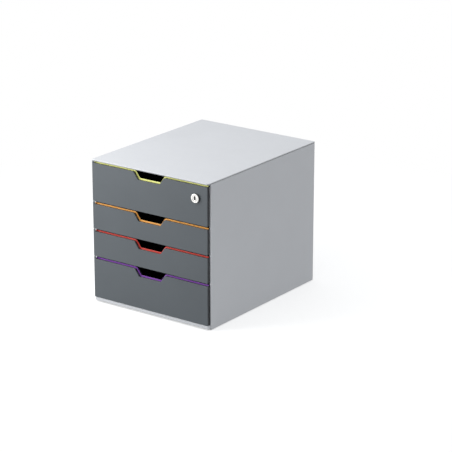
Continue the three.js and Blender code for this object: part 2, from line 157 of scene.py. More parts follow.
def seen_directly(tree):
    """One socket that is 1 for rays from the camera, a mirror or glass."""
    path = tree.nodes.new("ShaderNodeLightPath")
    total = path.outputs["Is Camera Ray"]
    for ray in ("Is Glossy Ray", "Is Transmission Ray"):
        larger = tree.nodes.new("ShaderNodeMath")
        larger.operation = "MAXIMUM"
        tree.links.new(total, larger.inputs[0])
        tree.links.new(path.outputs[ray], larger.inputs[1])
        total = larger.outputs[0]
    return total


def studio_world():
    """A soft grey room for the light, which is plain white where it is seen itself."""
    world = bpy.data.worlds.new("studio")
    world.use_nodes = True
    tree = world.node_tree
    room = tree.nodes["Background"]
    room.inputs["Color"].default_value = ROOM
    white = tree.nodes.new("ShaderNodeBackground")
    white.inputs["Color"].default_value = WHITE
    mix = tree.nodes.new("ShaderNodeMixShader")
    tree.links.new(seen_directly(tree), mix.inputs[0])
    tree.links.new(room.outputs[0], mix.inputs[1])
    tree.links.new(white.outputs[0], mix.inputs[2])
    tree.links.new(mix.outputs[0], tree.nodes["World Output"].inputs["Surface"])
    return world


scene.world = studio_world()
print("room:", ROOM[:3])

# %% [markdown]
# ## Floor
#
# The cabinet stands on a white sweep of paper, of which the picture keeps only a faint shadow. A
# bent sheet could be modelled, but one large plane looks the same. Near the case the camera sees
# pale paper that glows a little and keeps the shadow, and further off plain white. All other rays
# meet a dimmer paper, so that the floor doesn't light the lower edges of the fronts from below.

# %% Paper for the floor
FLOOR_BOUNCE = 0.28
FLOOR_SEEN = 0.66
FLOOR_GLOW = 0.5
SHADOW_REACH = (0.4, 1.0)


def grey(level):
    return (level, level, level, 1)


def floor_finish():
    """Pale paper that keeps a shadow near the case and is plain white further off."""
    material = bpy.data.materials.new("floor_paper")
    material.use_nodes = True
    tree = material.node_tree
    dim_paper = tree.nodes["Principled BSDF"]
    dim_paper.inputs["Base Color"].default_value = grey(FLOOR_BOUNCE)
    dim_paper.inputs["Roughness"].default_value = 1
    dim_paper.inputs["Specular IOR Level"].default_value = 0
    seen_paper = tree.nodes.new("ShaderNodeBsdfDiffuse")
    seen_paper.inputs["Color"].default_value = grey(FLOOR_SEEN)
    glow = tree.nodes.new("ShaderNodeEmission")
    glow.inputs["Strength"].default_value = FLOOR_GLOW
    near = tree.nodes.new("ShaderNodeAddShader")
    white = tree.nodes.new("ShaderNodeEmission")
    place = tree.nodes.new("ShaderNodeTexCoord")
    distance = tree.nodes.new("ShaderNodeVectorMath")
    distance.operation = "LENGTH"
    fade = tree.nodes.new("ShaderNodeMapRange")
    fade.interpolation_type = "SMOOTHSTEP"
    fade.inputs["From Min"].default_value = SHADOW_REACH[0]
    fade.inputs["From Max"].default_value = SHADOW_REACH[1]
    sweep = tree.nodes.new("ShaderNodeMixShader")
    both = tree.nodes.new("ShaderNodeMixShader")
    for start, end in (
        (seen_paper.outputs[0], near.inputs[0]),
        (glow.outputs[0], near.inputs[1]),
        (place.outputs["Object"], distance.inputs[0]),
        (distance.outputs["Value"], fade.inputs["Value"]),
        (fade.outputs["Result"], sweep.inputs[0]),
        (near.outputs[0], sweep.inputs[1]),
        (white.outputs[0], sweep.inputs[2]),
        (seen_directly(tree), both.inputs[0]),
        (dim_paper.outputs[0], both.inputs[1]),
        (sweep.outputs[0], both.inputs[2]),
        (both.outputs[0], tree.nodes["Material Output"].inputs["Surface"]),
    ):
        tree.links.new(start, end)
    return material


print("shadow kept up to", SHADOW_REACH[1], "m from the middle")

# %% Floor
FLOOR_SIZE = 40

floor_mesh = bpy.data.meshes.new("floor")
floor_bm = bmesh.new()
bmesh.ops.create_grid(floor_bm, x_segments=1, y_segments=1, size=FLOOR_SIZE / 2)
floor_bm.to_mesh(floor_mesh)
floor_bm.free()
floor_mesh.materials.append(floor_finish())
floor = bpy.data.objects.new("floor", floor_mesh)
scene.collection.objects.link(floor)
print("floor:", FLOOR_SIZE, "m")

# %% [markdown]
# ## Finishes
#
# The case, the fronts and the trays are injection moulded. Their moulds are spark eroded, which
# leaves a fine grain, and the plastic flows and cools unevenly, which shows as faint clouds in
# the colour and the gloss. A picture of plastic could be wrapped round each piece, but it would
# stretch and repeat. Noise textures on Object coordinates have their real size in metres on every
# piece, so the helpers below chain them into a colour, a gloss and a bump.

# %% Noise
NOISE_LOW = 0.3
NOISE_HIGH = 0.7


def noise(tree, scale, detail=3, roughness=0.5, stretch=(1, 1, 1)):
    """A noise texture with its features 1 / scale metres wide, stretched along the axes."""
    place = tree.nodes.new("ShaderNodeTexCoord")
    mapping = tree.nodes.new("ShaderNodeMapping")
    mapping.inputs["Scale"].default_value = stretch
    texture = tree.nodes.new("ShaderNodeTexNoise")
    texture.inputs["Scale"].default_value = scale
    texture.inputs["Detail"].default_value = detail
    texture.inputs["Roughness"].default_value = roughness
    tree.links.new(place.outputs["Object"], mapping.inputs["Vector"])
    tree.links.new(mapping.outputs["Vector"], texture.inputs["Vector"])
    return texture.outputs["Fac"]


def spread(tree, value, low, high):
    """Maps the middle range of a noise to low and high."""
    mapped = tree.nodes.new("ShaderNodeMapRange")
    mapped.inputs["From Min"].default_value = NOISE_LOW
    mapped.inputs["From Max"].default_value = NOISE_HIGH
    mapped.inputs["To Min"].default_value = low
    mapped.inputs["To Max"].default_value = high
    tree.links.new(value, mapped.inputs["Value"])
    return mapped.outputs["Result"]


print("noise is used from", NOISE_LOW, "to", NOISE_HIGH)

# %% Colour, gloss and bump
def start_finish(name):
    material = bpy.data.materials.new(name)
    material.use_nodes = True
    return material, material.node_tree, material.node_tree.nodes["Principled BSDF"]


def uneven_colour(tree, shader, scale, dark, light, detail=3):
    """Lets the colour wander between dark and light."""
    mix = tree.nodes.new("ShaderNodeMix")
    mix.data_type = "RGBA"
    first, second = (socket for socket in mix.inputs if socket.type == "RGBA")
    first.default_value = (*dark, 1)
    second.default_value = (*light, 1)
    tree.links.new(spread(tree, noise(tree, scale, detail), 0, 1), mix.inputs["Factor"])
    blend = next(socket for socket in mix.outputs if socket.type == "RGBA")
    tree.links.new(blend, shader.inputs["Base Color"])


def uneven_gloss(tree, shader, scale, low, high):
    """Lets the roughness wander between low and high."""
    tree.links.new(spread(tree, noise(tree, scale), low, high), shader.inputs["Roughness"])


def bump(tree, height, distance, under=None):
    """A bump of a height, on top of the one under it."""
    node = tree.nodes.new("ShaderNodeBump")
    node.inputs["Strength"].default_value = 1
    node.inputs["Distance"].default_value = distance
    tree.links.new(height, node.inputs["Height"])
    if under is not None:
        tree.links.new(under, node.inputs["Normal"])
    return node.outputs["Normal"]


print("helpers made: uneven_colour, uneven_gloss, bump")

# %% Moulded plastics
CLOUD_SCALE = 14
GLOSS_SCALE = 70
GLOSS_SPREAD = 0.03
PEEL = {"scale": 160, "detail": 1}
PEEL_DEPTH = 0.004 * mm
GRAIN = {"scale": 1100, "detail": 4, "roughness": 0.6}
STRIP_ROUGHNESS = 0.36
STRIP_GRAIN = 0.004 * mm
PLASTICS = {
    "housing": {"colour": (0.64, 0.655, 0.685), "roughness": 0.42, "grain": 0.012 * mm,
                "clouds": 0.012},
    "tray_plastic": {"colour": (0.05, 0.054, 0.06), "roughness": 0.4, "grain": 0.01 * mm,
                     "clouds": 0.05},
    "front_plastic": {"colour": (0.095, 0.108, 0.119), "roughness": 0.45, "grain": 0.014 * mm,
                      "clouds": 0.03, "shine": 0.3},
}
STRIP_COLOURS = {
    "strip_lime": (0.94, 0.96, 0.3),
    "strip_orange": (0.92, 0.42, 0.09),
    "strip_red": (0.64, 0.06, 0.045),
    "strip_purple": (0.22, 0.065, 0.4),
}


def shade(colour, share):
    return tuple(min(channel * share, 1) for channel in colour)


def moulded(name, colour, roughness, grain, clouds=0.02, shine=0.5):
    """Injection-moulded plastic: clouds in the colour, uneven gloss, and a spark-eroded grain."""
    material, tree, shader = start_finish(name)
    shader.inputs["Specular IOR Level"].default_value = shine
    uneven_colour(tree, shader, CLOUD_SCALE, shade(colour, 1 - clouds), shade(colour, 1 + clouds))
    uneven_gloss(tree, shader, GLOSS_SCALE, roughness - GLOSS_SPREAD, roughness + GLOSS_SPREAD)
    coarse = bump(tree, noise(tree, **PEEL), PEEL_DEPTH)
    fine = bump(tree, noise(tree, **GRAIN), grain, under=coarse)
    tree.links.new(fine, shader.inputs["Normal"])
    return material


finishes = {name: moulded(name, **values) for name, values in PLASTICS.items()}
for name, colour in STRIP_COLOURS.items():
    finishes[name] = moulded(name, colour, STRIP_ROUGHNESS, STRIP_GRAIN)
print("moulded finishes:", len(finishes))

# %% [markdown]
# ## Metal
#
# The barrel and the plug of a cam lock are turned from zinc and nickel plated, so their faces
# keep fine rings from the tool. Rings could be modelled, but these are finer than a mesh should
# be, so a wave texture of rings about the lock's own axis bumps them. The nut, the cam and the
# screw are only zinc plated: duller, a little blotched, and brushed one way.

# %% Nickel and zinc
NICKEL_HAZE = {"scale": 180, "dark": (0.7, 0.69, 0.665), "light": (0.8, 0.79, 0.77)}
NICKEL_GLOSS = {"scale": 420, "low": 0.22, "high": 0.34}
ZINC_BLOTCH = {"scale": 240, "dark": (0.4, 0.42, 0.44), "light": (0.56, 0.56, 0.55), "detail": 5}
ZINC_GLOSS = {"scale": 500, "low": 0.3, "high": 0.48}
WAVE_RADIANS = 20
RING_PITCH = 0.4 * mm
RING_WANDER = 0.6
RING_DEPTH = 0.01 * mm
BRUSH_SCALE = 1800
BRUSH_STRETCH = (1, 1, 14)
BRUSH_DEPTH = 0.012 * mm


def metal(name, tint, gloss):
    """Bare metal with an uneven colour and gloss, still without its tool marks."""
    material, tree, shader = start_finish(name)
    shader.inputs["Metallic"].default_value = 1
    uneven_colour(tree, shader, **tint)
    uneven_gloss(tree, shader, **gloss)
    return material, tree, shader


def turned_rings(tree):
    """Rings about the lock's axis. The texture turns 20 radians a metre at a scale of 1."""
    place = tree.nodes.new("ShaderNodeTexCoord")
    mapping = tree.nodes.new("ShaderNodeMapping")
    mapping.inputs["Location"].default_value = -lock_centre
    rings = tree.nodes.new("ShaderNodeTexWave")
    rings.wave_type = "RINGS"
    rings.rings_direction = "Y"
    rings.inputs["Scale"].default_value = 2 * math.pi / (WAVE_RADIANS * RING_PITCH)
    rings.inputs["Distortion"].default_value = RING_WANDER
    tree.links.new(place.outputs["Object"], mapping.inputs["Vector"])
    tree.links.new(mapping.outputs["Vector"], rings.inputs["Vector"])
    return rings.outputs["Fac"]


def nickel():
    material, tree, shader = metal("lock_nickel", NICKEL_HAZE, NICKEL_GLOSS)
    tree.links.new(bump(tree, turned_rings(tree), RING_DEPTH), shader.inputs["Normal"])
    return material


def zinc():
    material, tree, shader = metal("lock_zinc", ZINC_BLOTCH, ZINC_GLOSS)
    brushed = noise(tree, BRUSH_SCALE, stretch=BRUSH_STRETCH)
    tree.links.new(bump(tree, brushed, BRUSH_DEPTH), shader.inputs["Normal"])
    return material


finishes["lock_nickel"] = nickel()
finishes["lock_zinc"] = zinc()
print("finishes with the metals:", len(finishes))

# %% [markdown]
# ## Rubber, and the painted shade of the keyhole
#
# The feet are black rubber with the dull, finely pitted skin that a mould leaves. The dust
# shutter behind the keyhole is a near-black sheet with an oily gloss. Its darkness is painted
# shade that stands for the shade inside the keyhole. One flat black would make both look like a
# hole, so each gets a very dark grey that wanders a little.

# %% Rubber, and painted shade for the keyhole
RUBBER_DUST = {"scale": 90, "dark": (0.022, 0.022, 0.023), "light": (0.045, 0.044, 0.043)}
RUBBER_ROUGHNESS = 0.82
RUBBER_SHINE = 0.3
PITS = {"scale": 2200, "detail": 4}
PIT_DEPTH = 0.02 * mm
# Painted shade: the near-black tone of the shutter stands for the shade in the keyhole, and its
# wander is oil.
PAINTED_SHADE_AND_OIL = {"scale": 600, "dark": (0.006, 0.006, 0.006), "light": (0.014, 0.013, 0.012)}
STEEL_GLOSS = {"scale": 900, "low": 0.55, "high": 0.75}
STEEL_SHINE = 0.2


def rubber():
    material, tree, shader = start_finish("foot_rubber")
    uneven_colour(tree, shader, **RUBBER_DUST)
    shader.inputs["Roughness"].default_value = RUBBER_ROUGHNESS
    shader.inputs["Specular IOR Level"].default_value = RUBBER_SHINE
    tree.links.new(bump(tree, noise(tree, **PITS), PIT_DEPTH), shader.inputs["Normal"])
    return material


# Painted shade: a near-black steel for the shutter, standing for the shade inside the keyhole.
def painted_shade_steel():
    material, tree, shader = start_finish("painted_shade_steel")
    uneven_colour(tree, shader, **PAINTED_SHADE_AND_OIL)
    uneven_gloss(tree, shader, **STEEL_GLOSS)
    shader.inputs["Specular IOR Level"].default_value = STEEL_SHINE
    return material


finishes["foot_rubber"] = rubber()
finishes["painted_shade_steel"] = painted_shade_steel()
print("finishes:", ", ".join(finishes))

# %% [markdown]
# ## Modelling helpers
#
# Nearly every piece here is a moulding: a flat outline with rounded corners, pushed to a
# thickness. It could be a stack of live modifiers on a cube, but a helper that finishes the mesh
# at once is easier to follow. An outline is a few corners with a radius each, and the bevel
# operator turns the corners into arcs. Round pieces are a profile that is spun.

# %% Edges and their rounding
TINY = 0.001 * mm
SHARP = math.radians(40)
# The strips that a rounding gets, from the smallest edges to the corners of an outline.
SEGMENTS = {"edge": 2, "face": 3, "rim": 4, "crown": 5, "roll": 6, "corner": 8}


def round_edges(bm, edges, radius, kind="corner"):
    bmesh.ops.bevel(bm, geom=list(edges), offset=radius, offset_type="OFFSET",
                    segments=SEGMENTS[kind], profile=0.5, affect="EDGES", clamp_overlap=True,
                    material=-1)


def edges_where(bm, test):
    """The edges with both ends at places that pass the test."""
    return [edge for edge in bm.edges if all(test(vertex.co) for vertex in edge.verts)]


def sharp_edges(bm):
    return [edge for edge in bm.edges
            if len(edge.link_faces) == 2 and edge.calc_face_angle() > SHARP]


print("kinds of rounding:", ", ".join(SEGMENTS))

# %% Prisms and blocks
PLANES = {"x": "yz", "y": "xz", "z": "xy"}


def point(along, u, v, w):
    """The point at u and v across an axis and at w along it."""
    place = Vector()
    for letter, value in zip(PLANES[along] + along, (u, v, w)):
        setattr(place, letter, value)
    return place


def prism(corners, along, start, end, kind="corner"):
    """An outline of corners (u, v, radius), pushed along an axis from start to end."""
    bm = bmesh.new()
    places = [point(along, u, v, start) for u, v, _ in corners]
    ring = [bm.verts.new(place) for place in places]
    made = bmesh.ops.extrude_face_region(bm, geom=[bm.faces.new(ring)])
    moved = [part for part in made["geom"] if isinstance(part, bmesh.types.BMVert)]
    bmesh.ops.translate(bm, verts=moved, vec=point(along, 0, 0, end - start))
    bmesh.ops.recalc_face_normals(bm, faces=bm.faces)
    uprights = [next(edge for edge in vertex.link_edges if edge.other_vert(vertex) in moved)
                for vertex in ring]
    for i, (upright, (_, _, radius)) in enumerate(zip(uprights, corners)):
        if radius > 0:
            turn = (places[i] - places[i - 1]).angle(places[(i + 1) % len(places)] - places[i])
            round_edges(bm, [upright], radius * math.tan(turn / 2), kind)
    return bm


def rectangle(u0, u1, v0, v1, *radii):
    """Corners of a rectangle from the lower left round, with one radius or four."""
    radii = radii * 4 if len(radii) == 1 else radii
    corners = ((u0, v0), (u1, v0), (u1, v1), (u0, v1))
    return [(u, v, radius) for (u, v), radius in zip(corners, radii)]


def block(x0, x1, y0, y1, z0, z1):
    return prism(rectangle(min(x0, x1), max(x0, x1), y0, y1, 0), "z", z0, z1)


sample = prism(rectangle(0, 20 * mm, 0, 10 * mm, 2 * mm), "z", 0, 1 * mm)
print("a plate with four rounded corners has", len(sample.faces), "faces")
sample.free()

# %% Turned shapes
TURN_STEPS = 64


def turned(profile, centre, along="y", steps=TURN_STEPS):
    """A profile of (radius, place along the axis) spun about an axis through centre."""
    bm = bmesh.new()
    across = PLANES[along][0]
    places = []
    for radius, distance in profile:
        place = centre.copy()
        setattr(place, along, distance)
        setattr(place, across, getattr(centre, across) + radius)
        places.append(bm.verts.new(place))
    edges = [bm.edges.new(pair) for pair in zip(places, places[1:])]
    bmesh.ops.spin(bm, geom=places + edges, cent=centre, axis=point(along, 0, 0, 1),
                   angle=2 * math.pi, steps=steps, use_merge=True)
    bmesh.ops.remove_doubles(bm, verts=bm.verts, dist=TINY)
    bmesh.ops.recalc_face_normals(bm, faces=bm.faces)
    return bm


def rod(radius, start, end, centre, along="y", steps=TURN_STEPS):
    """A plain round bar about an axis through centre."""
    return turned([(0, start), (radius, start), (radius, end), (0, end)], centre, along, steps)


sample = rod(5 * mm, 0, 1 * mm, Vector())
print("a turned disc has", len(sample.faces), "faces")
sample.free()

# %% [markdown]
# ## Joining, cutting and handing over
#
# A mould forms the ribs and the openings of a piece together with its walls. Boolean modifiers
# do the same for whole solids: they join ribs on and cut openings out. Left live, they would keep
# their helper objects in the scene, so they are applied at once and only a clean mesh is left.
# The finished mesh then gets its finish and rides with the body of the node it stands for.

# %% Joining and cutting
FLAT = math.radians(0.3)
# Hardly any two corners of a piece are level along this direction, so it can sort them.
UNEVEN_WAY = Vector((1, 1.618, 2.718))


def put_in_order(bm):
    """Sorts the parts of a mesh, because a Boolean gives them in a new order each time."""
    bm.verts.sort(key=lambda vertex: vertex.co.dot(UNEVEN_WAY))
    bm.edges.sort(key=lambda edge: (edge.verts[0].co + edge.verts[1].co).dot(UNEVEN_WAY))
    bm.faces.sort(key=lambda face: face.calc_center_median().dot(UNEVEN_WAY))


def loose_object(bm):
    """A short-lived object for the Boolean modifiers."""
    mesh = bpy.data.meshes.new("loose")
    bm.to_mesh(mesh)
    bm.free()
    loose = bpy.data.objects.new("loose", mesh)
    scene.collection.objects.link(loose)
    return loose


def combine(solid, tools, operation):
    """A solid united with, cut by or kept inside other solids."""
    target = loose_object(solid)
    helpers = [loose_object(tool) for tool in tools]
    for helper in helpers:
        modifier = target.modifiers.new(operation, "BOOLEAN")
        modifier.operation = operation
        modifier.solver = "EXACT"
        modifier.object = helper
    result = bmesh.new()
    result.from_object(target, bpy.context.evaluated_depsgraph_get())
    for used in (target, *helpers):
        mesh = used.data
        bpy.data.objects.remove(used)
        bpy.data.meshes.remove(mesh)
    put_in_order(result)
    bmesh.ops.remove_doubles(result, verts=result.verts, dist=TINY)
    bmesh.ops.dissolve_limit(result, angle_limit=FLAT, verts=result.verts, edges=result.edges)
    return result


def join(solid, *others):
    return combine(solid, others, "UNION")


def cut(solid, *others):
    return combine(solid, others, "DIFFERENCE")


def keep_inside(solid, other):
    return combine(solid, [other], "INTERSECT")


sample = join(block(0, 2 * mm, 0, 1 * mm, 0, 1 * mm), block(1 * mm, 3 * mm, 0, 1 * mm, 0, 1 * mm))
print("two blocks joined in a row have", len(sample.faces), "faces")
sample.free()

# %% Handing a piece over
body_of = {node: body for body, members in frame["record"]["behaviour"]["bodies"].items()
           for node in members}
slot_of = {part["node"]: part["material_slot"] for part in frame["record"]["subparts"]}


def dress(bm, node, made="moulded", slot=None, finish=None):
    """The finished mesh becomes a piece that rides with its CAD node's body and stands for it."""
    name = f"{node}_{made}"
    slot = slot or slot_of[node]
    mesh = bpy.data.meshes.new(name)
    bm.to_mesh(mesh)
    bm.free()
    mesh.shade_smooth()
    mesh.materials.append(finishes[finish or slot])
    piece = bpy.data.objects.new(name, mesh)
    scene.collection.objects.link(piece)
    piece.modifiers.new("even_shading", "WEIGHTED_NORMAL").keep_sharp = True
    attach(piece, body_of[node])
    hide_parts(node)
    print(name, len(mesh.polygons), "faces")


print("slots:", ", ".join(sorted(set(slot_of.values()))))

# %% [markdown]
# ## Top panel
#
# On the real cabinet the top is a flat moulded plate with rounded front corners. It lies on the
# side panels with hardly a seam, so its upper rim is rounded and its lower rim stays crisp. One
# bevel of a whole cube would round both rims alike, so the corners are rounded in the outline and
# only the upper rim is bevelled. Two ribs under the plate drop inside the side panels, and a
# short rib behind the lock stops the cam.

# %% Top panel
CASE_FRONT_RADIUS = 5 * mm
CASE_REAR_RADIUS = 2 * mm
TOP_RIM = 0.8 * mm
RIB_WIDTH = 2 * mm
RIB_DEPTH = 1.2 * mm
LEDGE_START = 12 * mm
STRIKE_START = 13.5 * mm
STRIKE_THICKNESS = 3 * mm
STRIKE_WIDTH = 26 * mm
BACK_RIB = 2 * mm

back_rib_front = case_high.y - BACK_THICKNESS - FIT - BACK_RIB


def top_panel():
    outline = rectangle(case_low.x, case_high.x, case_low.y, case_high.y,
                        CASE_FRONT_RADIUS, CASE_FRONT_RADIUS, CASE_REAR_RADIUS, CASE_REAR_RADIUS)
    plate = prism(outline, "z", under_top, case_high.z)
    upper_rim = edges_where(plate, lambda co: co.z > case_high.z - TINY)
    round_edges(plate, upper_rim, TOP_RIM, "rim")
    middle = under_top + TOP_THICKNESS / 2
    rib_outer = inside_half - FIT
    ribs = [block(side * (rib_outer - RIB_WIDTH), side * rib_outer, front_plane + LEDGE_START,
                  back_rib_front - FIT, under_top - RIB_DEPTH, middle) for side in (-1, 1)]
    strike_front = front_plane + STRIKE_START
    strike = block(lock_centre.x - STRIKE_WIDTH / 2, lock_centre.x + STRIKE_WIDTH / 2,
                   strike_front, strike_front + STRIKE_THICKNESS, case_low.z, middle)
    return join(plate, *ribs, strike)


dress(top_panel(), "top_panel")

# %% [markdown]
# ## Side panels
#
# Each side is one moulding: the wall, and on its inner face a ledge, a keeper rib and a stop for
# every tray. It could be carved from a block, but a moulding is built up. So the outline of the
# wall is drawn from above, with a rounded rear edge and a nib that the back panel seats against,
# and pushed up, and the runners are joined on as short prisms.

# %% Runners
RAIL = 2.5 * mm
LUG_RISE = 3.5 * mm
LEDGE_WIDTH = 7.5 * mm
LEDGE_THICKNESS = 2.5 * mm
LEDGE_LEAD = 3 * mm
KEEPER_WIDTH = 5 * mm
KEEPER_THICKNESS = 2 * mm
KEEPER_GAP = 0.5 * mm
STOP_FROM_FRONT = 80 * mm
STOP_LENGTH = 6 * mm
STOP_DROP = 3 * mm

drawers = (1, 2, 3, 4)
rims = {number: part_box(f"tray_{number}")[1].z - LUG_RISE for number in drawers}
tray_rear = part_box("tray_1")[1].y


def runner(side, rim):
    """Ledge, keeper and stop for one tray, rooted in the middle of the wall."""
    root = side * (inside_half + WALL / 2)
    start = front_plane + LEDGE_START

    def shelf(width, low, high):
        inner = side * (inside_half - width)
        return prism([(root, start, 0), (side * inside_half, start, 0),
                      (inner, start + LEDGE_LEAD, 0), (inner, tray_rear, 0), (root, tray_rear, 0)],
                     "z", low, high)

    ledge_top = rim - RAIL - FIT
    keeper_bottom = rim + LUG_RISE + KEEPER_GAP
    keeper_top = keeper_bottom + KEEPER_THICKNESS
    stop_front = front_plane + STOP_FROM_FRONT
    return [
        shelf(LEDGE_WIDTH, ledge_top - LEDGE_THICKNESS, ledge_top),
        shelf(KEEPER_WIDTH, keeper_bottom, keeper_top),
        block(root, side * (inside_half - KEEPER_WIDTH), stop_front, stop_front + STOP_LENGTH,
              keeper_bottom - STOP_DROP, keeper_top),
    ]


print("tray rims:", {number: round(rim / mm, 1) for number, rim in rims.items()}, "mm")

# %% Side panels
PANEL_ROUND = 1 * mm
PANEL_RISE = 1 * mm
BACK_RIB_WIDTH = 3 * mm
RUNNER_ROUND = 0.3 * mm


def side_panel(side):
    outer, inner = side * case_high.x, side * inside_half
    nib = side * (inside_half - BACK_RIB_WIDTH)
    nib_rear = case_high.y - BACK_THICKNESS - FIT
    outline = [
        (inner, panel_front, 0),
        (outer, panel_front, PANEL_ROUND),
        (outer, case_high.y, CASE_REAR_RADIUS),
        (inner, case_high.y, 0),
        (inner, nib_rear, 0),
        (nib, nib_rear, 0),
        (nib, back_rib_front, 0),
        (inner, back_rib_front, 0),
    ]
    wall = prism(outline, "z", PANEL_RISE, under_top - SEAM)
    # Beside the end of the sill the front edge stays square, so that the two meet in one line.
    heel = block(outer - side * 2 * PANEL_ROUND, outer, panel_front, panel_front + 2 * PANEL_ROUND,
                 PANEL_RISE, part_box("base_panel")[0].z + SILL_HEIGHT)
    panel = join(wall, heel, *(part for rim in rims.values() for part in runner(side, rim)))
    inside = [edge for edge in sharp_edges(panel)
              if all(abs(vertex.co.x) < inside_half + TINY for vertex in edge.verts)]
    round_edges(panel, inside, RUNNER_ROUND, "edge")
    return panel


dress(side_panel(-1), "left_side_panel")
dress(side_panel(1), "right_side_panel")

# %% [markdown]
# ## Back panel
#
# The back is a plain plate that snaps in between the sides, flush with their rear edges. Its
# clips could be modelled too, but only its rounded edges and the thin joint around it show, so a
# rounded prism is enough.

# %% Back panel
BACK_CORNER = 1 * mm
BACK_EDGE = 0.4 * mm


def back_panel():
    low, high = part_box("back_panel")
    plate = prism(rectangle(low.x, high.x, low.z, high.z, BACK_CORNER), "y", low.y, high.y)
    round_edges(plate, sharp_edges(plate), BACK_EDGE, "face")
    return plate


dress(back_panel(), "back_panel")

# %% [markdown]
# ## Base with its sill, and the feet
#
# Under the lowest front the base shows as a light sill with rounded ends and rounded upper and
# lower edges. Behind it the base is a plate that carries four rings, and a rubber foot sits in
# each. A profile swept along the front could make the sill. A rounded outline that is pushed up
# and bevelled above and below is simpler, and its corners roll in both ways by themselves.

# %% Base
SILL_CORNER = 4 * mm
SILL_ROUND = 2.5 * mm
SILL_UNDER = 2 * mm
SILL_GAP = 0.5 * mm
BASE_RISE = 5 * mm
BASE_THICKNESS = 2.5 * mm
RING_WALL = 2.2 * mm

base_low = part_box("base_panel")[0]
feet = ("foot_front_left", "foot_front_right", "foot_rear_left", "foot_rear_right")
foot_low, foot_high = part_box(feet[0])
foot_radius = (foot_high.x - foot_low.x) / 2


def foot_centre(node):
    low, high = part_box(node)
    return Vector(((low.x + high.x) / 2, (low.y + high.y) / 2, 0))


def sill():
    """The bar under the lowest front, with all edges rolled but those at its rear."""
    top, rear = base_low.z + SILL_HEIGHT, panel_front - SEAM
    bar = prism(rectangle(case_low.x, case_high.x, base_low.y, rear,
                          SILL_CORNER, SILL_CORNER, 0, 0), "z", base_low.z, top)
    for height, radius in ((base_low.z, SILL_UNDER), (top, SILL_ROUND)):
        level = edges_where(bar, lambda co: abs(co.z - height) < TINY)
        ahead = [edge for edge in level if min(vertex.co.y for vertex in edge.verts) < rear - TINY]
        round_edges(bar, ahead, radius, "roll")
    return bar


def base_panel():
    half = inside_half - FIT
    plate_top = BASE_RISE + BASE_THICKNESS
    plate = block(-half, half, panel_front, back_rib_front - FIT, BASE_RISE, plate_top)
    web = block(-half, half, base_low.y + SILL_CORNER, panel_front + WALL,
                base_low.z, base_low.z + SILL_HEIGHT - SILL_GAP)
    pocket_radius = foot_radius + FIT
    centres = [foot_centre(node) for node in feet]
    rings = [rod(pocket_radius + RING_WALL, base_low.z, plate_top, centre, "z")
             for centre in centres]
    pockets = [rod(pocket_radius, 0, BASE_RISE, centre, "z") for centre in centres]
    return cut(join(sill(), web, plate, *rings), *pockets)


dress(base_panel(), "base_panel")

# %% Feet
DISH_DEPTH = 0.4 * mm
DISH_EDGE = 3 * mm
TREAD_WIDTH = 2.4 * mm
TREAD_ROUND = 0.8 * mm


def foot(node):
    """A rubber button with a rounded tread and a shallow dish in its middle."""
    low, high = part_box(node)
    centre, radius = foot_centre(node), (high.x - low.x) / 2
    button = turned([(0, DISH_DEPTH), (radius - DISH_EDGE, DISH_DEPTH), (radius - TREAD_WIDTH, 0),
                     (radius, 0), (radius, high.z), (0, high.z)], centre, "z")
    tread = edges_where(button, lambda co: co.z < TINY and (co - centre).length > radius - TINY)
    round_edges(button, tread, TREAD_ROUND, "rim")
    return button


for node in feet:
    dress(foot(node), node)

# %% [markdown]
# ## Drawer fronts
#
# A front is the piece that the eye goes to. It is moulded in two shots: a grey face with a
# trapezoid finger notch and a small horn before the left end of the strip, and behind it a darker
# shell with the cheeks, the return along the lower edge and the clip pegs. The notch could be cut
# out of a plate, but its rim would then need a bevel of its own. So the whole outline of the
# face, notch included, is one prism, and a single bevel rolls the rim all the way round. The
# shell is a second prism of the same outline, and what stands on its back is joined on.

# %% Finger notch and peg places
NOTCH_WIDTH = 73 * mm
NOTCH_FLOOR = 52 * mm
NOTCH_DEPTH = 14.5 * mm
SHOULDER_RADIUS = 4 * mm
NOTCH_FLOOR_RADIUS = 3 * mm
STRIP_RISE = 3.4 * mm
PEG_FROM_NOTCH = 12 * mm
PEG_FROM_END = 52 * mm
PEG_FROM_BOTTOM = 20 * mm

front_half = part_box("front_1")[1].x
bottoms = {number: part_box(f"front_{number}")[0].z for number in drawers}
tops = {number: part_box(f"accent_strip_{number}")[1].z - STRIP_RISE for number in drawers}


def notch_corners(edge, rise):
    """The notch from right to left, for a line that runs above the edge of the front by rise."""
    run = (NOTCH_WIDTH - NOTCH_FLOOR) / 2
    shift = rise * (math.hypot(run, NOTCH_DEPTH) - run) / NOTCH_DEPTH
    upper = NOTCH_WIDTH / 2 - shift
    lower = NOTCH_FLOOR / 2 - shift
    upper_radius = max(SHOULDER_RADIUS + rise, 0)
    lower_radius = max(NOTCH_FLOOR_RADIUS - rise, 0)
    return [
        (upper, edge + rise, upper_radius),
        (lower, edge + rise - NOTCH_DEPTH, lower_radius),
        (-lower, edge + rise - NOTCH_DEPTH, lower_radius),
        (-upper, edge + rise, upper_radius),
    ]


def peg_places(number):
    inner = NOTCH_WIDTH / 2 + PEG_FROM_NOTCH
    outer = front_half - PEG_FROM_END
    height = bottoms[number] + PEG_FROM_BOTTOM
    return [Vector((x, 0, height)) for x in (-outer, -inner, inner, outer)]


print("fronts:", {number: round((tops[number] - bottoms[number]) / mm, 1) for number in drawers})

# %% Hole for the lock
BARREL_RADIUS = 8 * mm
BARREL_FLAT = 7 * mm


def lock_block(half_width, half_height, start, end):
    """A block about the lock's axis."""
    return block(lock_centre.x - half_width, lock_centre.x + half_width, start, end,
                 lock_centre.z - half_height, lock_centre.z + half_height)


def barrel_shape(clearance, start, end):
    """The lock's barrel: a round bar with two flats, grown by a clearance."""
    radius = BARREL_RADIUS + clearance
    flats = lock_block(BARREL_FLAT + clearance, 2 * radius, start - OVERRUN, end + OVERRUN)
    return keep_inside(rod(radius, start, end, lock_centre), flats)


print("lock:", [round(value / mm, 1) for value in lock_centre], "mm")

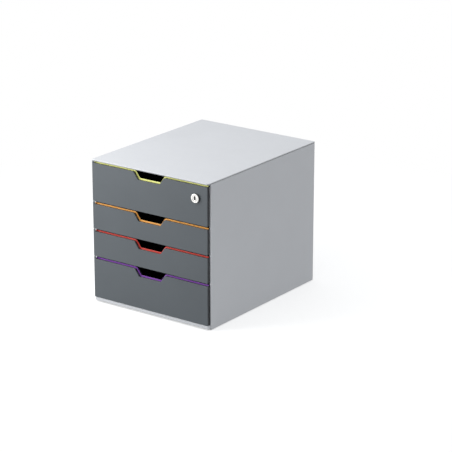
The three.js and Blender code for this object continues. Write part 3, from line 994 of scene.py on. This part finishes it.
# %% Faces
SKIN = 1.6 * mm
FACE_ROUND = 0.6 * mm
FACE_CORNER = 1.2 * mm
HORN_WIDTH = 4.2 * mm
HORN_ROUND = 0.8 * mm


def face(number):
    """The grey face with the horn that closes the strip's left end, and a rolled rim."""
    low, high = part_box(f"front_{number}")
    bottom, top = bottoms[number], tops[number]
    horn = low.x + HORN_WIDTH
    skin = prism([(low.x, bottom, FACE_CORNER), (high.x, bottom, FACE_CORNER),
                  (high.x, top, HORN_ROUND), *notch_corners(top, 0),
                  (horn, top, 0), (horn, high.z, HORN_ROUND), (low.x, high.z, HORN_ROUND)],
                 "y", front_plane, front_plane + SKIN)
    rim = edges_where(skin, lambda co: co.y < front_plane + TINY)
    round_edges(skin, rim, FACE_ROUND, "face")
    if number == 1:
        skin = cut(skin, barrel_shape(FIT, front_plane - OVERRUN, front_plane + SKIN + OVERRUN))
    return skin


print("horns:", round(HORN_WIDTH / mm, 1), "mm wide")

# %% Shells, and both handed over
FACE = 4.2 * mm
CHEEK = 2.5 * mm
CHEEK_INSET = 0.8 * mm
PEG_RADIUS = 3 * mm
PEG_TIP_RADIUS = 2.2 * mm
PEG_TIP = 1 * mm
PEG_STEPS = 32
LOCK_BOSS = 11 * mm


def shell(number):
    """The dark back of a front: cheeks, lower return and clip pegs on a plate."""
    low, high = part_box(f"front_{number}")
    bottom, top = bottoms[number], tops[number]
    start, rear = front_plane + SKIN, front_plane + OVERLAY
    middle = front_plane + (SKIN + FACE) / 2
    plate = prism([(low.x, bottom, FACE_CORNER), (high.x, bottom, FACE_CORNER), (high.x, top, 0),
                   *notch_corners(top, 0), (low.x, top, 0)], "y", start, front_plane + FACE)
    cheeks = [block(x, x + CHEEK, middle, rear, bottom + CHEEK / 2, top - SEAM)
              for x in (low.x + CHEEK_INSET, high.x - CHEEK_INSET - CHEEK)]
    inset = CHEEK_INSET + SEAM
    lip = prism(rectangle(low.x + inset, high.x - inset, bottom + SEAM, bottom + CHEEK,
                          FACE_CORNER, FACE_CORNER, 0, 0), "y", middle, rear - SEAM)
    peg_profile = [(0, middle), (PEG_RADIUS, middle), (PEG_RADIUS, high.y - PEG_TIP),
                   (PEG_TIP_RADIUS, high.y), (0, high.y)]
    pegs = [turned(peg_profile, centre, steps=PEG_STEPS) for centre in peg_places(number)]
    back = join(plate, *cheeks, lip, *pegs)
    if number == 1:
        boss = rod(LOCK_BOSS, middle, rear, lock_centre)
        back = cut(join(back, boss), barrel_shape(FIT, start - OVERRUN, rear + OVERRUN))
    return back


for number in drawers:
    dress(face(number), f"front_{number}", made="face")
    dress(shell(number), f"front_{number}", made="shell", slot="tray_plastic")

# %% [markdown]
# ## Coloured strips
#
# Each strip is a ribbon that stands a little over the edge of its front and dips through the
# notch with it. Its skirt runs down behind the face, out of sight, and its ends lie over the
# cheeks. A bevelled curve could follow the edge, but it would have no skirt. The ribbon's edge
# has to stay parallel to the notch, so its corners come from the same function with a rise.

# %% Strips
STRIP_SHOWN = 2.5 * mm
STRIP_SKIRT = 6 * mm
STRIP_SETBACK = 1 * mm
STRIP_ROUND = 0.35 * mm


def strip(number):
    low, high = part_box(f"accent_strip_{number}")
    top = tops[number]
    shown, over_cheek, under = top + STRIP_SHOWN, top + FIT, top - STRIP_SKIRT
    skirt_end = front_half - CHEEK - CHEEK_INSET - FIT
    ribbon = prism([(skirt_end, under, 0), (skirt_end, over_cheek, 0),
                    (high.x, over_cheek, 0), (high.x, shown, 0),
                    *notch_corners(top, STRIP_SHOWN),
                    (low.x, shown, 0), (low.x, over_cheek, 0),
                    (-skirt_end, over_cheek, 0), (-skirt_end, under, 0),
                    *reversed(notch_corners(top, -STRIP_SKIRT))],
                   "y", low.y + STRIP_SETBACK, high.y)
    round_edges(ribbon, sharp_edges(ribbon), STRIP_ROUND, "face")
    return ribbon


for number in drawers:
    dress(strip(number), f"accent_strip_{number}")

# %% [markdown]
# ## Trays
#
# A tray is an open bin with a rail along each side. Its bottom edges are rounded inside and out,
# so that paper slides in and the mould lets go. A Solidify modifier could give a sheet its wall,
# but floor and wall differ in thickness here. So the bin and its hollow are the same kind of
# rounded prism, one inside the other, and the notch and the holes for pegs and lock are cut
# through the front wall.

# %% Trays
TRAY_WALL = 2.2 * mm
TRAY_FLOOR = 2 * mm
TRAY_CORNER = 7 * mm
FLOOR_ROUND = 3.5 * mm
LEDGE_SIDE_GAP = 1 * mm
RAIL_CORNER = 2 * mm
LUG_LENGTH = 8 * mm
TRAY_EDGE = 0.4 * mm

tray_half = inside_half - LEDGE_WIDTH - LEDGE_SIDE_GAP


def bin_shape(inset, low, high, floor, rim):
    """A rounded box with rolled lower edges, smaller by the inset on every side."""
    half = tray_half - inset
    shape = prism(rectangle(-half, half, low.y + inset, high.y - inset, TRAY_CORNER - inset),
                  "z", floor, rim)
    lower = edges_where(shape, lambda co: co.z < floor + TINY)
    round_edges(shape, lower, FLOOR_ROUND - inset / 2, "roll")
    return shape


def wall_openings(number, start, end):
    """What is cut through a tray's front wall: the notch, the peg holes and the lock's hole."""
    top = tops[number]
    above = top + STRIP_RISE
    upper_right, lower_right, lower_left, upper_left = notch_corners(top, 0)
    notch = prism([(upper_right[0], above, 0), (upper_right[0], top, 0), lower_right, lower_left,
                   (upper_left[0], top, 0), (upper_left[0], above, 0)], "y", start, end)
    openings = [notch, *(rod(PEG_RADIUS + FIT, start, end, centre, steps=PEG_STEPS)
                         for centre in peg_places(number))]
    if number == 1:
        openings.append(barrel_shape(FIT, start, end))
    return openings


def tray(number):
    low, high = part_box(f"tray_{number}")
    rim = rims[number]
    rails = prism(rectangle(low.x, high.x, low.y, high.y, RAIL_CORNER), "z", rim - RAIL, rim)
    lugs = [block(side * (tray_half - TRAY_WALL), side * high.x, high.y - LUG_LENGTH,
                  high.y - RAIL_CORNER, rim - RAIL, high.z) for side in (-1, 1)]
    hollow = bin_shape(TRAY_WALL, low, high, low.z + TRAY_FLOOR, rim + TRAY_WALL)
    openings = wall_openings(number, low.y - TRAY_WALL, low.y + 2 * TRAY_WALL)
    bin_and_rails = cut(join(bin_shape(0, low, high, low.z, rim), rails), hollow, *openings)
    # The lugs come after the hollow, which would cut their inner ends away.
    shape = join(bin_and_rails, *lugs)
    round_edges(shape, sharp_edges(shape), TRAY_EDGE, "edge")
    return shape


for number in drawers:
    dress(tray(number), f"tray_{number}")

# %% [markdown]
# ## Cam lock
#
# The lock is the only metal on the front. A turned barrel with a flange holds the plug, the key
# turns the plug, and the plug swings the cam behind the strike rib of the top panel. Cylinders
# could be stacked, but a lathe follows a profile, so the round parts are spun from theirs, thread
# and all. The flats and the hexagon of the nut are what is left inside a block or a prism.

# %% Barrel
PLUG_RADIUS = 5.3 * mm
FLANGE_ROUND = 0.9 * mm
FLANGE_STEPS = 96
MOUTH_ROUND = 0.25 * mm
THREAD_PITCH = 1 * mm
THREAD_DEPTH = 0.35 * mm

barrel_end = lock_high.y
flange_radius = (lock_high.x - lock_low.x) / 2


def circle_edges(bm, radius, depth):
    """The edges of a circle about the lock's axis, by its radius and its place in depth."""
    return edges_where(bm, lambda co: (
        abs(co.y - depth) < TINY
        and abs(math.hypot(co.x - lock_centre.x, co.z - lock_centre.z) - radius) < TINY))


def thread_profile():
    """The barrel's outline from the front: plain at first, then one groove after another."""
    turns = int((barrel_end - panel_front) / THREAD_PITCH)
    root = BARREL_RADIUS - THREAD_DEPTH
    profile = [(0, front_plane - OVERRUN), (BARREL_RADIUS, front_plane - OVERRUN)]
    for turn in range(turns):
        crest = panel_front + turn * THREAD_PITCH
        profile += [(BARREL_RADIUS, crest), (root, crest + THREAD_PITCH / 2)]
    return profile + [(BARREL_RADIUS, barrel_end - THREAD_PITCH / 4), (root, barrel_end),
                      (0, barrel_end)]


def barrel():
    flange = rod(flange_radius, lock_low.y, front_plane - FIT, lock_centre, steps=FLANGE_STEPS)
    round_edges(flange, circle_edges(flange, flange_radius, lock_low.y), FLANGE_ROUND, "crown")
    flats = lock_block(BARREL_FLAT, flange_radius, front_plane - OVERLAY, barrel_end + OVERLAY)
    bar = keep_inside(turned(thread_profile(), lock_centre), flats)
    bore_radius = PLUG_RADIUS + FIT
    bore = rod(bore_radius, lock_low.y - OVERRUN, barrel_end + OVERRUN, lock_centre)
    tube = cut(join(flange, bar), bore)
    round_edges(tube, circle_edges(tube, bore_radius, lock_low.y), MOUTH_ROUND, "edge")
    return tube


dress(barrel(), "lock_barrel", made="turned")

# %% Nut
NUT_SIDES = 6
NUT_LEAD = 1 * mm


def nut():
    """A hexagon kept inside a turned ring, which gives it its chamfers and its plain hole."""
    low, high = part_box("lock_nut")
    reach = (high.z - low.z) / 2
    angles = [(i + 0.5) * 2 * math.pi / NUT_SIDES for i in range(NUT_SIDES)]
    hexagon = prism([(lock_centre.x + reach * math.cos(angle),
                      lock_centre.z + reach * math.sin(angle), 0) for angle in angles],
                    "y", low.y, high.y)
    flat, hole = reach - NUT_LEAD, BARREL_RADIUS + FIT
    ring = turned([(hole, low.y), (flat, low.y), (reach, low.y + NUT_LEAD / 2),
                   (reach, high.y - NUT_LEAD / 2), (flat, high.y), (hole, high.y), (hole, low.y)],
                  lock_centre)
    return keep_inside(hexagon, ring)


dress(nut(), "lock_nut", made="cut")

# %% [markdown]
# ## Plug, cam and screw
#
# The plug's face is turned too, with the keyhole broached through it: a slot that is widest a
# little below its middle. The slot's edges catch light and shadow. Just behind the face a
# near-black dust shutter closes it as a small piece of its own. Its dark colour is painted shade
# that stands for the depth of the keyhole. Behind the barrel the plug ends in a square post that
# takes the cam, and a pan-head screw with a cross slot holds the cam on.

# %% Plug and shutter
POST_HALF = 3 * mm
PLUG_ROUND = 0.3 * mm
KEYHOLE_SHAPE = [(-1.0, -4.1), (1.0, -4.1), (1.8, -1.3), (1.3, 4.1), (-1.3, 4.1), (-1.8, -1.3)]
KEYHOLE_ROUND = 0.2 * mm
KEYHOLE_DEPTH = 10 * mm
# The shutter sits close behind the face, so that its painted shade fills the keyhole.
SHUTTER_DEPTH = 0.2 * mm
SHUTTER_SHARE = 0.97
SCREW_RADIUS = 1.5 * mm

plug_low, plug_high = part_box("lock_plug")
cam_low, cam_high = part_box("lock_cam")


def keyhole(start, end, share=1):
    """A prism of the keyhole's outline, scaled by a share."""
    outline = [(lock_centre.x + x * share * mm, lock_centre.z + z * share * mm, KEYHOLE_ROUND)
               for x, z in KEYHOLE_SHAPE]
    return prism(outline, "y", start, end, "edge")


def plug():
    core = rod(PLUG_RADIUS, plug_low.y, barrel_end, lock_centre)
    round_edges(core, circle_edges(core, PLUG_RADIUS, plug_low.y), PLUG_ROUND, "edge")
    post = lock_block(POST_HALF, POST_HALF, cam_low.y - PLUG_RADIUS, plug_high.y)
    slot = keyhole(plug_low.y - OVERRUN, plug_low.y + KEYHOLE_DEPTH)
    screw_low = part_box("cam_screw")[0].y
    screw_bore = rod(SCREW_RADIUS + FIT, screw_low - FIT, plug_high.y + OVERRUN, lock_centre)
    return cut(join(core, post), slot, screw_bore)


def shade_shutter():
    """A near-black dust shutter just behind the plug's face: painted shade for the keyhole's
    depth.
    """
    return keyhole(plug_low.y + SHUTTER_DEPTH, plug_low.y + KEYHOLE_DEPTH - FIT, SHUTTER_SHARE)


dress(plug(), "lock_plug", made="turned")
# The shutter's near-black finish is painted shade in the keyhole.
dress(shade_shutter(), "lock_plug", made="shade_shutter", slot="lock_zinc", finish="painted_shade_steel")

# %% Cam and screw
CAM_TIP_ROUND = 3 * mm
CAM_HUB_ROUND = 5 * mm
CAM_EDGE = 0.25 * mm
SCREW_HEAD_RADIUS = 4.5 * mm
SCREW_HEAD = 2 * mm
SCREW_STEPS = 48
CROWN_ROUND = 0.9 * mm
CROSS_HALF = 0.5 * mm
CROSS_REACH = 2.4 * mm
CROSS_DEPTH = 1.3 * mm


def cam():
    outline = rectangle(cam_low.x, cam_high.x, cam_low.z, cam_high.z,
                        CAM_TIP_ROUND, CAM_HUB_ROUND, CAM_HUB_ROUND, CAM_TIP_ROUND)
    lever = prism(outline, "y", cam_low.y, cam_high.y)
    hole = lock_block(POST_HALF + FIT, POST_HALF + FIT, cam_low.y - OVERRUN, cam_high.y + OVERRUN)
    shape = cut(lever, hole)
    round_edges(shape, sharp_edges(shape), CAM_EDGE, "edge")
    return shape


def screw():
    low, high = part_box("cam_screw")
    head = high.y - SCREW_HEAD
    shape = turned([(0, low.y), (SCREW_RADIUS, low.y), (SCREW_RADIUS, head),
                    (SCREW_HEAD_RADIUS, head), (SCREW_HEAD_RADIUS, high.y), (0, high.y)],
                   lock_centre, steps=SCREW_STEPS)
    round_edges(shape, circle_edges(shape, SCREW_HEAD_RADIUS, high.y), CROWN_ROUND, "crown")
    slots = [lock_block(across, up, high.y - CROSS_DEPTH, high.y + CROSS_DEPTH)
             for across, up in ((CROSS_HALF, CROSS_REACH), (CROSS_REACH, CROSS_HALF))]
    return cut(shape, *slots)


dress(cam(), "lock_cam", made="stamped")
dress(screw(), "cam_screw", made="turned")

# %% [markdown]
# ## Handing over
#
# By here every piece is dressed and rides with the body of its node.

# %% Finish
print("pieces dressed")
